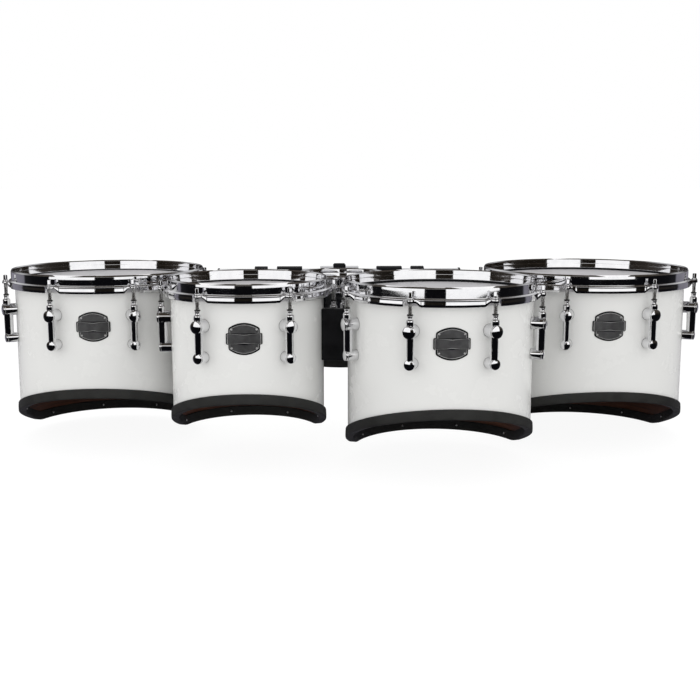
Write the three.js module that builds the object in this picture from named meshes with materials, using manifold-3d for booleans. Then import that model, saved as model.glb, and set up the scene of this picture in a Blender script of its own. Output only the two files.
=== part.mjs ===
// Marching tenor drums: four drums in a shallow arc, a small shot drum behind the middle pair
// and the rail that a carrier holds. Millimetres, +Z up, the audience looks along +Y.
// Each drum is built on its own axis with its rim plane at height zero, so depths are negative.
import * as THREE from 'three';
import { mergeVertices } from 'three/addons/utils/BufferGeometryUtils.js';
import Module from 'manifold-3d';

const manifold = await Module();
manifold.setup();

// Clearance between touching pieces, and how far fused pieces and cutting tools reach past a face
const fit = 0.3;
const headFit = 1.2;
const boltFit = 0.6;
const bite = 1;
const overrun = 10;

// Drums: a drum's depth is that of its flat back edge below the rim, and its front edge is
// higher by the rise. Facets are a multiple of the lugs, so that each lug sits on a flat.
const drum13 = { name: 'drum13', radius: 165.1, depth: 297, rise: 86.5, lugs: 8, facets: 24 };
const drum10 = { name: 'drum10', radius: 127, depth: 263.7, rise: 71.6, lugs: 6, facets: 24 };
const drum12 = { name: 'drum12', radius: 152.4, depth: 290, rise: 84.4, lugs: 8, facets: 24 };
const drum14 = { name: 'drum14', radius: 177.8, depth: 313, rise: 95.3, lugs: 8, facets: 24 };
const shotDrum = { name: 'drum6', radius: 76.2, depth: 166, rise: 0, lugs: 6, facets: 12 };
const drums = [drum13, drum10, drum12, drum14, shotDrum];

// Plan of the set: gaps between shells, and the directions from drum to drum
const innerGap = 41.5;
const outerGap = 29;
const shotGap = 50;
const shotDrop = 11;
const innerTurn = THREE.MathUtils.degToRad(-6.9);
const outerSweep = THREE.MathUtils.degToRad(35.4);

// Shell
const shellWall = 6;
const bearingEdgeDrop = 19.6;
const bearingBevel = 3;
const bearingPeakShare = 0.35;
const cutKneeShare = 0.4;
const cutEaseShare = 0.08;

// Rubber trim on the shell's lower edge
const trimHeight = 17;
const trimUnder = 3;
const trimProud = 4;
const trimInner = 3;
const trimFit = 0.6;

// Head: a film held in a flesh hoop that hangs outside the shell
const filmThickness = 0.5;
const fleshFit = 2.4;
const fleshHeight = 8.5;

// Counterhoop: an upper wall, a step and a lower flange that opens out into ears
const rimReach = 6.1;
const hoopWall = 2.2;
const stepDepth = 18.6;
const flangeReach = 10.9;
const flangeDepth = 30.8;
const flangeFlare = 0.4;
const earReach = 23;
const earThickness = 2.8;
const earNose = 12;
const earRoot = 30;
const chordSagShare = 0.9;

// Tension rods through the ears, and the swivel nuts that they screw into
const rodOffset = 17;
const rodRadius = 2.9;
const rodHeadTop = 7;
const rodHeadRadius = 3.3;
const washerRadius = 5.5;
const rodLength = 49;
const rodSides = 5;
const nutRadius = 5.5;
const nutNeckRadius = 4.3;
const nutHeight = 15.5;

// Tube lugs: two barrel posts joined by an upright oval tube
const topPost = { radius: 9.8, reach: 27.5, depth: 68.5, sides: 8 };
const lowPost = { radius: 7.4, reach: 22.5, depth: 119, sides: 6 };
const domeShare = 0.3;
const lugTube = { halfWidth: 6.1, halfDepth: 8.4, reach: 23, sides: 5 };

// Badge plates
const badgeWidth = 49.5;
const badgeHeight = 51;
const badgeShoulder = 34;
const badgeBandWidth = 57;
const badgeBandHeight = 18;
const badgeThickness = 2.6;
const badgeDepth = 87;
const badgeCorner = 4;
const badgeArcSteps = 4;

// Spacer blocks: the middle one lies forward of the line between its drums, clear of a lug
const outerSpacer = { width: 27, waist: 21, height: 72, depth: 150, boltSpread: 40, forward: 0 };
const middleSpacer = { width: 20, waist: 17, height: 86, depth: 95, boltSpread: 50, forward: 8 };

// Bolts through spacers and feet
const boltRadius = 3;
const boltHeadRadius = 5.6;
const boltHeadHeight = 4.5;
const boltSides = 6;

// Carrier rail with its end plugs and stop collars
const railRadius = 12.7;
const railLength = 474;
const railTopDepth = 14.4;
const railBehindHoop = 6.5;
const railSides = 12;
const plugRadius = 14;
const plugLength = 3.5;
const collarRadius = 17.5;
const stopLength = 25;
const stopOffset = 152;

// Arms from the rail to the two middle drums, with their feet a clearance below the lugs
const armOffset = 97;
const armThickness = 8;
const armWidth = 22;
const armFoot = { width: 38, height: 44, reach: 24, boltSpread: 24 };
const armBelowLugs = 7.6;
const armDepth = lowPost.depth + lowPost.radius + armBelowLugs + armFoot.height / 2;
const armBend = 42;
const armBendSteps = 5;
const armBarrel = 49;

// The shot drum's bracket
const bracketWeb = 10;
const bracketBarrel = 24;
const bracketCapDepth = 18;
const bracketCapTop = 4.5;
const bracketTopDepth = 48;
const bracketFoot = { width: 30, height: 46, reach: 14, boltSpread: 24 };

// Finishes
const finishes = {
  whiteGloss: { color: 0xdcdcd8, roughness: 0.15, metalness: 0 },
  blackGloss: { color: 0x141517, roughness: 0.18, metalness: 0 },
  blackRubber: { color: 0x1c1c1b, roughness: 0.8, metalness: 0 },
  film: { color: 0xc9cacb, roughness: 0.45, metalness: 0 },
  chrome: { color: 0xd8d9dc, roughness: 0.08, metalness: 1 },
  pewter: { color: 0x3b3b3c, roughness: 0.45, metalness: 0.8 },
  blackPaint: { color: 0x18181a, roughness: 0.5, metalness: 0.2 },
};

const turn = (sides) => (2 * Math.PI) / sides;
const evenly = (count, start = 0) => Array.from({ length: count }, (_, i) => start + turn(count) * i);

function bare(geometry) {
  geometry.deleteAttribute('uv');
  geometry.deleteAttribute('normal');
  return geometry;
}

function flatShaded(geometry) {
  const flat = bare(geometry.index ? geometry.toNonIndexed() : geometry);
  flat.computeVertexNormals();
  return flat;
}

function solidOf(geometry) {
  const merged = mergeVertices(bare(geometry.clone()));
  const mesh = new manifold.Mesh({
    numProp: 3,
    vertProperties: new Float32Array(merged.attributes.position.array),
    triVerts: new Uint32Array(merged.index.array),
  });
  return new manifold.Manifold(mesh);
}

function geometryOf(solid) {
  const mesh = solid.getMesh();
  const geometry = new THREE.BufferGeometry();
  geometry.setAttribute('position', new THREE.BufferAttribute(mesh.vertProperties, 3));
  geometry.setIndex(new THREE.BufferAttribute(mesh.triVerts, 1));
  return flatShaded(geometry);
}

const cut = (solid, ...tools) => tools.reduce((rest, tool) => rest.subtract(tool), solid);
const join = (first, ...others) => others.reduce((all, other) => all.add(other), first);

function piece(name, geometry, finish) {
  const mesh = new THREE.Mesh(geometry, new THREE.MeshStandardMaterial(finish));
  mesh.name = name;
  return mesh;
}

// A point at a radius and an angle from the front (-Y) towards the right (+X)
function onCircle(radius, angle) {
  return new THREE.Vector2(radius * Math.sin(angle), -radius * Math.cos(angle));
}

// A closed ring. Its section is a list of [radius, height] points that may change with the angle.
function ring(angles, sectionAt) {
  const sections = angles.map(sectionAt);
  const size = sections[0].length;
  const positions = [];
  const indices = [];
  sections.forEach((section, i) => {
    const next = (i + 1) % sections.length;
    section.forEach(([radius, height], j) => {
      const point = onCircle(radius, angles[i]);
      positions.push(point.x, point.y, height);
      const k = (j + 1) % size;
      indices.push(i * size + j, next * size + k, i * size + k);
      indices.push(i * size + j, next * size + j, next * size + k);
    });
  });
  const geometry = new THREE.BufferGeometry();
  geometry.setAttribute('position', new THREE.Float32BufferAttribute(positions, 3));
  geometry.setIndex(indices);
  return geometry;
}

// A turned piece on a vertical axis, from a profile of [radius, height] points read upwards
function turned(profile, sides, startAngle = 0) {
  const points = profile.map(([radius, height]) => new THREE.Vector2(radius, height));
  return new THREE.LatheGeometry(points, sides, startAngle).rotateX(Math.PI / 2);
}

// A round bar between two heights on a vertical axis
const bar = (radius, low, high, sides) => turned([[0, low], [radius, low], [radius, high], [0, high]], sides);

// Lays a piece built on the vertical axis along the outward direction at an angle and a height
const layOutward = (geometry, angle, height) =>
  geometry.rotateX(Math.PI / 2).translate(0, 0, height).rotateZ(angle);

// Moves a piece from a drum's own frame to the set's
const atDrum = (geometry, drum) => geometry.translate(drum.place.x, drum.place.y, -drum.drop);

// Lugs lie evenly on both sides of the front, each on the middle of a facet
const firstLug = (drum) => turn(drum.lugs) / 2;
const firstCorner = (drum) => firstLug(drum) + turn(drum.facets) / 2;
const lugAngles = (drum) => evenly(drum.lugs, firstLug(drum));
const facetAngles = (drum) => evenly(drum.facets, firstCorner(drum));

// A radius that puts the middles of a drum's facets, not their corners, at the given distance
const overFacets = (drum, distance) => distance / Math.cos(turn(drum.facets) / 2);

// The distance from the axis to the middle of a facet
const apothem = (drum, radius) => radius * Math.cos(turn(drum.facets) / 2);

// Height of the shell's slanted lower edge, flat at the back and rising to the front
function edgeHeight(drum, angle) {
  const back = -Math.cos(angle);
  const slope = (cutKneeShare - back) / (1 + cutKneeShare);
  const eased = slope < cutEaseShare ? slope ** 2 / (2 * cutEaseShare) : slope - cutEaseShare / 2;
  const climb = slope > 0 ? eased / (1 - cutEaseShare / 2) : 0;
  return -drum.depth + trimUnder + drum.rise * climb;
}

// The crest of the bearing edge lies nearer to the shell's outer face
const peakRadius = (drum) => drum.radius - shellWall * bearingPeakShare;

function shellSolid(drum) {
  const inner = drum.radius - shellWall;
  return solidOf(ring(facetAngles(drum), (angle) => [
    [inner, edgeHeight(drum, angle)],
    [drum.radius, edgeHeight(drum, angle)],
    [drum.radius, -bearingEdgeDrop - bearingBevel * bearingPeakShare],
    [peakRadius(drum), -bearingEdgeDrop],
    [inner, -bearingEdgeDrop - bearingBevel],
  ]));
}

function trimGeometry(drum) {
  const inner = drum.radius - shellWall;
  return ring(facetAngles(drum), (angle) => {
    const edge = edgeHeight(drum, angle);
    const top = edge + trimHeight - trimUnder;
    return [
      [inner - trimInner, edge - trimUnder],
      [drum.radius + trimProud, edge - trimUnder],
      [drum.radius + trimProud, top],
      [drum.radius + fit, top],
      [drum.radius + fit, edge - trimFit],
      [inner - fit, edge - trimFit],
      [inner - fit, top],
    ];
  });
}

// The hoop's inner face where it goes round the flesh hoop
const fleshBore = (drum) => drum.radius + flangeReach - hoopWall - flangeFlare;

function headGeometry(drum) {
  const underside = fit - bearingEdgeDrop;
  const top = underside + filmThickness;
  const inner = drum.radius + headFit;
  const outer = fleshBore(drum) - fleshFit;
  const fleshTop = -stepDepth - hoopWall - fit;
  return turned([
    [0, underside],
    [inner, underside],
    [inner, fleshTop - fleshHeight],
    [outer, fleshTop - fleshHeight],
    [outer, fleshTop],
    [inner + filmThickness, fleshTop],
    [inner + filmThickness, top],
    [0, top],
  ], drum.facets, firstCorner(drum));
}

// Angles of the hoop's sections: four at each ear, and even steps between ears that keep the
// hoop's chords clear of the flesh hoop
function hoopStations(drum) {
  const nose = earNose / 2 / (drum.radius + earReach);
  const root = earRoot / 2 / (drum.radius + flangeReach);
  const gap = turn(drum.lugs) - 2 * root;
  const steps = Math.ceil(gap / Math.sqrt((8 * chordSagShare * fleshFit) / fleshBore(drum)));
  return lugAngles(drum).flatMap((angle) => {
    const between = Array.from({ length: steps }, (_, i) => root + (gap * i) / steps);
    return [
      { angle: angle - root, ear: false },
      { angle: angle - nose, ear: true },
      { angle: angle + nose, ear: true },
      ...between.map((step) => ({ angle: angle + step, ear: false })),
    ];
  });
}

function hoopSection(drum, ear) {
  const rim = drum.radius + rimReach;
  const flange = drum.radius + flangeReach;
  const reach = ear ? drum.radius + earReach : flange;
  const low = ear ? stepDepth + earThickness : flangeDepth;
  return [
    [rim - hoopWall, -stepDepth - hoopWall],
    [fleshBore(drum), -stepDepth - hoopWall],
    [fleshBore(drum) + flangeFlare, -low],
    [reach, -low],
    [reach - flangeFlare, -stepDepth],
    [rim, -stepDepth],
    [rim, 0],
    [rim - hoopWall, 0],
  ];
}

// A tension rod: its washer bites into the ear that the rod goes through
function rodGeometry() {
  const washerSeat = -stepDepth - bite;
  return turned([
    [0, -rodHeadTop - rodLength],
    [rodRadius, -rodHeadTop - rodLength],
    [rodRadius, washerSeat],
    [washerRadius, washerSeat],
    [rodHeadRadius, -rodHeadTop],
    [0, -rodHeadTop],
  ], rodSides);
}

function hoopGeometry(drum) {
  const stations = hoopStations(drum);
  const sections = new Map(stations.map(({ angle, ear }) => [angle, hoopSection(drum, ear)]));
  const hoop = solidOf(ring([...sections.keys()], (angle) => sections.get(angle)));
  const rods = lugAngles(drum).map((angle) => {
    const place = onCircle(drum.radius + rodOffset, angle);
    return solidOf(rodGeometry().rotateZ(angle).translate(place.x, place.y, 0));
  });
  return geometryOf(join(hoop, ...rods));
}

function nutGeometry() {
  const flat = -topPost.depth + topPost.radius * Math.cos(turn(topPost.sides) / 2);
  const bore = rodRadius + boltFit;
  return ring(evenly(rodSides), () => [
    [bore, flat - bite],
    [nutRadius, flat - bite],
    [nutNeckRadius, flat + nutHeight],
    [bore, flat + nutHeight],
  ]);
}

// A barrel post with a domed end, laid out from a seat on the shell towards the front
function postGeometry(post, drum, seat) {
  const end = drum.radius + post.reach;
  const profile = [
    [0, seat],
    [post.radius, seat],
    [post.radius, end - post.radius * domeShare],
    [0, end],
  ];
  return layOutward(turned(profile, post.sides, turn(post.sides) / 2), 0, -post.depth);
}

// One lug at the front of a drum, with its swivel nut, from a seat at a distance from the axis
function lugSolid(drum, seat) {
  const out = -drum.radius - rodOffset;
  const tube = bar(lugTube.halfDepth, -lowPost.depth, -topPost.depth, lugTube.sides);
  tube.scale(lugTube.halfWidth / lugTube.halfDepth, 1, 1);
  tube.translate(0, lugTube.halfDepth - drum.radius - lugTube.reach, 0);
  return join(
    solidOf(postGeometry(topPost, drum, seat)),
    solidOf(postGeometry(lowPost, drum, seat)),
    solidOf(tube),
    solidOf(nutGeometry().translate(0, out, 0)),
  );
}

function lugPieces(drum) {
  const geometry = geometryOf(lugSolid(drum, apothem(drum, drum.radius) + fit));
  return lugAngles(drum).map((angle, i) => {
    const lug = piece(`${drum.name}_lug_${i + 1}`, geometry, finishes.chrome);
    lug.rotation.z = angle;
    return lug;
  });
}

// The shot drum's trim is a collar round the foot of its shell
function shellFoot(drum) {
  const inner = drum.radius - shellWall - trimInner;
  return solidOf(ring(facetAngles(drum), (angle) => {
    const low = edgeHeight(drum, angle) - trimUnder;
    const high = low + trimHeight;
    return [[inner, low], [drum.radius + trimProud, low], [drum.radius + trimProud, high], [inner, high]];
  }));
}

// The shot drum's lugs are fused with its shell
function lugsOnShell(drum) {
  const lug = geometryOf(lugSolid(drum, drum.radius - shellWall / 2));
  return lugAngles(drum).map((angle) => solidOf(lug.clone().rotateZ(angle)));
}

// An arched plate with a wider band across its middle
function badgeOutline() {
  const shape = new THREE.Shape();
  const x = badgeWidth / 2;
  const y = badgeShoulder / 2;
  const crown = badgeHeight - y;
  const bandX = badgeBandWidth / 2;
  const bandY = badgeBandHeight / 2;
  const side = [[x, y - badgeCorner], [x, bandY], [bandX, bandY]];
  shape.moveTo(-x + badgeCorner, y);
  shape.quadraticCurveTo(0, crown, x - badgeCorner, y);
  side.forEach(([px, py]) => shape.lineTo(px, py));
  side.toReversed().forEach(([px, py]) => shape.lineTo(px, -py));
  shape.lineTo(x - badgeCorner, -y);
  shape.quadraticCurveTo(0, -crown, -x + badgeCorner, -y);
  side.forEach(([px, py]) => shape.lineTo(-px, -py));
  side.toReversed().forEach(([px, py]) => shape.lineTo(-px, py));
  return shape;
}

// A curved plate: the badge's outline taken out of a thin ring round the shell
function badgeGeometry(drum) {
  const inner = overFacets(drum, apothem(drum, drum.radius) + fit);
  const outer = inner + badgeThickness;
  const low = -badgeDepth - badgeHeight;
  const high = -badgeDepth + badgeHeight;
  const band = ring(facetAngles(drum), () => [[inner, low], [outer, low], [outer, high], [inner, high]]);
  const settings = { depth: outer, bevelEnabled: false, curveSegments: badgeArcSteps };
  const prism = new THREE.ExtrudeGeometry(badgeOutline(), settings);
  prism.rotateX(Math.PI / 2).translate(0, 0, -badgeDepth);
  return geometryOf(solidOf(band).intersect(solidOf(prism)));
}

// A prism that fills a drum's shell and its clearance, to cut seats on the shell with
function seatTool(drum) {
  const radius = overFacets(drum, apothem(drum, drum.radius) + fit);
  const shape = new THREE.Shape(facetAngles(drum).map((angle) => onCircle(radius, angle)));
  const prism = new THREE.ExtrudeGeometry(shape, { depth: drum.depth, bevelEnabled: false });
  return solidOf(atDrum(prism.translate(0, 0, -drum.depth), drum));
}

// Where a bolt head's face lies inside a shell, as a distance from the drum's axis
function headSeat(drum) {
  const tilt = boltHeadRadius * Math.sin(turn(drum.facets) / 2);
  return apothem(drum, drum.radius - shellWall) - tilt - fit;
}

const boltDepths = (depth, spread) => [depth - spread / 2, depth + spread / 2];
const directionAngle = (from, to) => Math.atan2(to.place.x - from.place.x, from.place.y - to.place.y);
const shellGap = (first, second) => first.place.distanceTo(second.place) - first.radius - second.radius;

// The holes that a pair of bolts needs in a drum's shell, in the drum's own frame
function boltHoles(drum, angle, depth, spread, across = 0) {
  const start = drum.radius - shellWall - overrun;
  return boltDepths(depth, spread).map((boltDepth) => {
    const hole = bar(boltRadius + boltFit, start, drum.radius + overrun, boltSides);
    return solidOf(layOutward(hole.translate(across, 0, 0), angle, -boltDepth));
  });
}

// A pair of bolts with their heads inside one drum, and nuts at the far end of through bolts
function boltPair(drum, angle, depth, spread, end, withNuts, across = 0) {
  const start = headSeat(drum) - boltHeadHeight;
  const neck = start + boltHeadHeight;
  const shank = [[0, start], [boltHeadRadius, start], [boltHeadRadius, neck], [boltRadius, neck]];
  const nut = [[boltRadius, end - boltHeadHeight], [boltHeadRadius, end - boltHeadHeight], [boltHeadRadius, end]];
  const tail = withNuts ? nut : [[boltRadius, end]];
  return boltDepths(depth, spread).map((boltDepth) => {
    const bolt = turned([...shank, ...tail, [0, end]], boltSides).translate(across, 0, 0);
    return solidOf(atDrum(layOutward(bolt, angle, -boltDepth), drum));
  });
}

// A block between two shells, waisted in the middle, with two bolts through both drums
function spacerPiece(name, first, second, spacer) {
  const angle = directionAngle(first, second);
  const near = first.radius - overrun;
  const far = first.radius + shellGap(first, second) + overrun;
  const middle = (near + far) / 2;
  const shape = new THREE.Shape();
  shape.moveTo(-spacer.width / 2, -near);
  shape.quadraticCurveTo(-spacer.waist / 2, -middle, -spacer.width / 2, -far);
  shape.lineTo(spacer.width / 2, -far);
  shape.quadraticCurveTo(spacer.waist / 2, -middle, spacer.width / 2, -near);
  const settings = { depth: spacer.height, bevelEnabled: false, curveSegments: 2 };
  const block = new THREE.ExtrudeGeometry(shape, settings);
  block.translate(-spacer.forward, 0, -spacer.depth - spacer.height / 2).rotateZ(angle);
  const end = first.place.distanceTo(second.place) - headSeat(second) + boltHeadHeight;
  const solid = join(
    cut(solidOf(atDrum(block, first)), seatTool(first), seatTool(second)),
    ...boltPair(first, angle, spacer.depth, spacer.boltSpread, end, true, -spacer.forward),
  );
  return piece(name, geometryOf(solid), finishes.blackPaint);
}

// A plate in an upright plane along Y, from an outline of [y, height] points
function uprightPlate(shape, thickness, middle) {
  const settings = { depth: thickness, bevelEnabled: false, curveSegments: armBendSteps };
  const plate = new THREE.ExtrudeGeometry(shape, settings).translate(0, 0, -thickness / 2);
  return plate.rotateX(Math.PI / 2).rotateZ(Math.PI / 2).translate(middle, 0, 0);
}

// A bar along X on the rail's axis
const alongRail = (radius, length, middle) =>
  solidOf(bar(radius, -length / 2, length / 2, railSides)
    .rotateY(Math.PI / 2)
    .translate(middle, rail.y, rail.height));

// A block that stands on a shell at an angle, before its seat is cut
function footBlock(drum, angle, foot, depth) {
  const block = new THREE.BoxGeometry(foot.width, foot.reach + overrun, foot.height);
  block.translate(0, -drum.radius - (foot.reach - overrun) / 2, -depth);
  return solidOf(atDrum(block.rotateZ(angle), drum));
}

// A bracket hung on the rail by a barrel, with a foot bolted to a drum from inside its shell
function bracketGeometry(drum, angle, foot, depth, barrelLength, plates, middle) {
  const body = join(
    ...plates.map(solidOf),
    alongRail(collarRadius, barrelLength, middle),
    footBlock(drum, angle, foot, depth),
  );
  const railHole = alongRail(railRadius + fit, railLength, shotDrum.place.x);
  const boltEnd = drum.radius + foot.reach - boltRadius;
  const bolts = boltPair(drum, angle, depth, foot.boltSpread, boltEnd, false);
  return geometryOf(join(cut(body, railHole, seatTool(drum)), ...bolts));
}

// The direction from a middle drum's axis to where its arm meets the shell
function armAngle(drum, side) {
  const across = shotDrum.place.x + side * armOffset - drum.place.x;
  return Math.PI - Math.asin(across / drum.radius);
}

// An arm drops from the rail, bends forward below the lugs and stands on a middle drum's back
function armPiece(name, drum, side) {
  const middle = shotDrum.place.x + side * armOffset;
  const angle = armAngle(drum, side);
  const front = drum.place.y - (drum.radius + armFoot.reach / 2) * Math.cos(angle);
  const near = rail.y - armWidth / 2;
  const far = rail.y + armWidth / 2;
  const low = -armDepth - armWidth / 2;
  const high = -armDepth + armWidth / 2;
  const innerBend = armBend - armWidth;
  const shape = new THREE.Shape();
  shape.moveTo(front, low);
  shape.lineTo(far - armBend, low);
  shape.quadraticCurveTo(far, low, far, low + armBend);
  shape.lineTo(far, rail.height);
  shape.lineTo(near, rail.height);
  shape.lineTo(near, high + innerBend);
  shape.quadraticCurveTo(near, high, near - innerBend, high);
  shape.lineTo(front, high);
  const plate = uprightPlate(shape, armThickness, middle);
  const geometry = bracketGeometry(drum, angle, armFoot, armDepth, armBarrel, [plate], middle);
  return piece(name, geometry, finishes.blackPaint);
}

const bracketDepth = bracketTopDepth + bracketFoot.height / 2;

// The block that closes the shot drum's clamp over the rail
function bracketCap(middle) {
  const height = -bracketCapTop - rail.height;
  const cap = new THREE.BoxGeometry(bracketBarrel, bracketCapDepth, height);
  return cap.translate(middle, rail.y, rail.height + height / 2);
}

function shotBracketPiece() {
  const seat = shotDrum.place.y + shotDrum.radius;
  const high = -shotDrop - bracketTopDepth;
  const low = high - bracketFoot.height;
  const shape = new THREE.Shape();
  shape.moveTo(seat, low);
  shape.lineTo(seat + bracketFoot.reach, low);
  shape.lineTo(rail.y + railRadius, rail.height - railRadius);
  shape.lineTo(rail.y + railRadius, rail.height);
  shape.lineTo(rail.y - railRadius, rail.height);
  shape.lineTo(rail.y - railRadius, high);
  shape.lineTo(seat, high);
  const middle = shotDrum.place.x;
  const plates = [uprightPlate(shape, bracketWeb, middle), bracketCap(middle)];
  const settings = [shotDrum, Math.PI, bracketFoot, bracketDepth, bracketBarrel, plates, middle];
  return piece('shot_drum_bracket', bracketGeometry(...settings), finishes.blackPaint);
}

// The rail is turned in one: a bar with a plug in each end and two stop collars
function railPiece() {
  const end = railLength / 2;
  const stopStart = stopOffset - stopLength / 2;
  const stopEnd = stopOffset + stopLength / 2;
  const half = [
    [railRadius, stopStart],
    [collarRadius, stopStart],
    [collarRadius, stopEnd],
    [railRadius, stopEnd],
    [railRadius, end - plugLength],
    [plugRadius, end - plugLength],
    [plugRadius, end],
    [0, end],
  ];
  const otherHalf = half.map(([radius, place]) => [radius, -place]).reverse();
  const geometry = turned([...otherHalf, ...half], railSides).rotateY(Math.PI / 2);
  geometry.translate(shotDrum.place.x, rail.y, rail.height);
  return piece('carrier_rail', flatShaded(geometry), finishes.chrome);
}

// Drum places: the second drum of each pair lies a gap away in its direction
function placeBeside(drum, other, gap, direction) {
  const step = new THREE.Vector2(Math.cos(direction), Math.sin(direction));
  drum.place = other.place.clone().addScaledVector(step, drum.radius + other.radius + gap);
}

// The shot drum lies behind the middle pair, the same gap from both
function placeShotDrum() {
  const toTen = drum10.radius + shotDrum.radius + shotGap;
  const toTwelve = drum12.radius + shotDrum.radius + shotGap;
  const between = drum10.place.distanceTo(drum12.place);
  const along = (toTen ** 2 - toTwelve ** 2 + between ** 2) / (2 * between);
  const across = Math.sqrt(toTen ** 2 - along ** 2);
  const step = drum12.place.clone().sub(drum10.place).normalize();
  const back = new THREE.Vector2(-step.y, step.x);
  shotDrum.place = drum10.place.clone().addScaledVector(step, along).addScaledVector(back, across);
}

drums.forEach((drum) => {
  drum.drop = drum === shotDrum ? shotDrop : 0;
});
drum10.place = new THREE.Vector2(0, 0);
placeBeside(drum12, drum10, innerGap, innerTurn);
placeBeside(drum13, drum10, outerGap, Math.PI - outerSweep);
placeBeside(drum14, drum12, outerGap, outerSweep);
placeShotDrum();

const rail = {
  y: shotDrum.place.y + shotDrum.radius + flangeReach + railBehindHoop + collarRadius,
  height: -railTopDepth - railRadius,
};

// Bolt holes in the shells, for spacers to a neighbour, an arm or the bracket
const spacerHoles = (drum, other, { depth, boltSpread, forward }, side) =>
  boltHoles(drum, directionAngle(drum, other), depth, boltSpread, -side * forward);
const armHoles = (drum, side) =>
  boltHoles(drum, armAngle(drum, side), armDepth, armFoot.boltSpread);
const shellHoles = new Map([
  [drum13, spacerHoles(drum13, drum10, outerSpacer, 1)],
  [drum10, [
    ...spacerHoles(drum10, drum13, outerSpacer, -1),
    ...spacerHoles(drum10, drum12, middleSpacer, 1),
    ...armHoles(drum10, -1),
  ]],
  [drum12, [
    ...spacerHoles(drum12, drum10, middleSpacer, -1),
    ...spacerHoles(drum12, drum14, outerSpacer, 1),
    ...armHoles(drum12, 1),
  ]],
  [drum14, spacerHoles(drum14, drum12, outerSpacer, -1)],
  [shotDrum, boltHoles(shotDrum, Math.PI, bracketDepth, bracketFoot.boltSpread)],
]);

function drumGroup(drum) {
  const small = drum === shotDrum;
  const holes = shellHoles.get(drum);
  const extras = small ? [shellFoot(drum), ...lugsOnShell(drum)] : [];
  const shell = join(shellSolid(drum), ...extras);
  const shellFinish = small ? finishes.blackGloss : finishes.whiteGloss;
  const group = new THREE.Group();
  group.add(
    piece(`${drum.name}_shell`, geometryOf(cut(shell, ...holes)), shellFinish),
    piece(`${drum.name}_head`, flatShaded(headGeometry(drum)), finishes.film),
    piece(`${drum.name}_hoop_and_rods`, hoopGeometry(drum), finishes.chrome),
  );
  if (!small) {
    group.add(piece(`${drum.name}_trim`, flatShaded(trimGeometry(drum)), finishes.blackRubber));
    group.add(...lugPieces(drum));
    group.add(piece(`${drum.name}_badge`, badgeGeometry(drum), finishes.pewter));
  }
  group.position.set(drum.place.x, drum.place.y, -drum.drop);
  return group;
}

const set = new THREE.Group();
drums.forEach((drum) => set.add(drumGroup(drum)));
set.add(
  spacerPiece('spacer_13_10', drum13, drum10, outerSpacer),
  spacerPiece('spacer_10_12', drum10, drum12, middleSpacer),
  spacerPiece('spacer_12_14', drum12, drum14, outerSpacer),
  railPiece(),
  armPiece('left_rail_arm', drum10, -1),
  armPiece('right_rail_arm', drum12, 1),
  shotBracketPiece(),
);

// The origin is the middle of the set's footprint, at the lowest edge
set.updateMatrixWorld(true);
const extent = new THREE.Box3().setFromObject(set, true);
const middle = extent.getCenter(new THREE.Vector3());
set.position.set(-middle.x, -middle.y, -extent.min.z);

export default set;
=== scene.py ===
import math

import bmesh
import bpy
from mathutils import Matrix, Quaternion, Vector


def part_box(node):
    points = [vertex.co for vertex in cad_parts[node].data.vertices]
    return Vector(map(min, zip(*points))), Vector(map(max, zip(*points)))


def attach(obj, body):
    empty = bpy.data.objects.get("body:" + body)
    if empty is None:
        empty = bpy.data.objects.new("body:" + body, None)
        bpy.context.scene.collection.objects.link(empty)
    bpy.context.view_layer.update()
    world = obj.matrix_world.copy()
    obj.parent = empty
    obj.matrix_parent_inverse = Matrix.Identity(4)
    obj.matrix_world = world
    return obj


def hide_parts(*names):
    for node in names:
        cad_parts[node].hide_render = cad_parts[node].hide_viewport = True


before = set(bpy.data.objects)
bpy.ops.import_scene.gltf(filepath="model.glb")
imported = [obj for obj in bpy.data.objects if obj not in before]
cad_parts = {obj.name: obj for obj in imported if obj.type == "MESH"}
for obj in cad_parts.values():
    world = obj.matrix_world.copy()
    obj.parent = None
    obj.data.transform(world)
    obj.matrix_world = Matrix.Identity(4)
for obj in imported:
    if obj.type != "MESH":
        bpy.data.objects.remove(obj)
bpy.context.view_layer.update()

# Lengths are in millimetres until a mesh is made. Each drum is built on its own axis with its
# rim plane at height zero. Angles run from the front (-Y) towards the right (+X).
MM = 0.001
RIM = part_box("drum13_hoop_and_rods")[1].z

# For each drum: the shell's radius and depth, how far its lower edge rises at the front, its lugs,
# how far the hoop's wall stands outside the shell at its foot and at its waist, the film's depth
# below the rim, and the number of trim pins with the angle of the first one in degrees.
DRUMS = {
    "drum13": {"radius": 165.1, "depth": 297.0, "rise": 86.5, "lugs": 8,
               "wall": (6.1, 6.26), "film": 19.3, "pins": (9, -2.8)},
    "drum10": {"radius": 127.0, "depth": 263.7, "rise": 71.6, "lugs": 6,
               "wall": (6.1, 6.26), "film": 20.2, "pins": (7, -7.1)},
    "drum12": {"radius": 152.4, "depth": 290.0, "rise": 84.4, "lugs": 8,
               "wall": (6.5, 6.24), "film": 21.6, "pins": (9, -0.5)},
    "drum14": {"radius": 177.8, "depth": 313.0, "rise": 95.3, "lugs": 8,
               "wall": (6.1, 6.26), "film": 21.0, "pins": (10, -8.2)},
    "drum6": {"radius": 76.2, "depth": 166.0, "rise": 0.0, "lugs": 6,
              "wall": (6.1, 6.2), "film": 18.8, "pins": (5, 12.0)},
}
BIG = ["drum13", "drum10", "drum12", "drum14"]

# Stations round a shell, trim or head.
AROUND = 180

for drum_name, drum in DRUMS.items():
    low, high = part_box(drum_name + "_shell")
    drum["name"] = drum_name
    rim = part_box(drum_name + "_hoop_and_rods")[1].z
    drum["place"] = Vector(((low.x + high.x) / 2, (low.y + high.y) / 2, rim))


# Shapes

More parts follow.
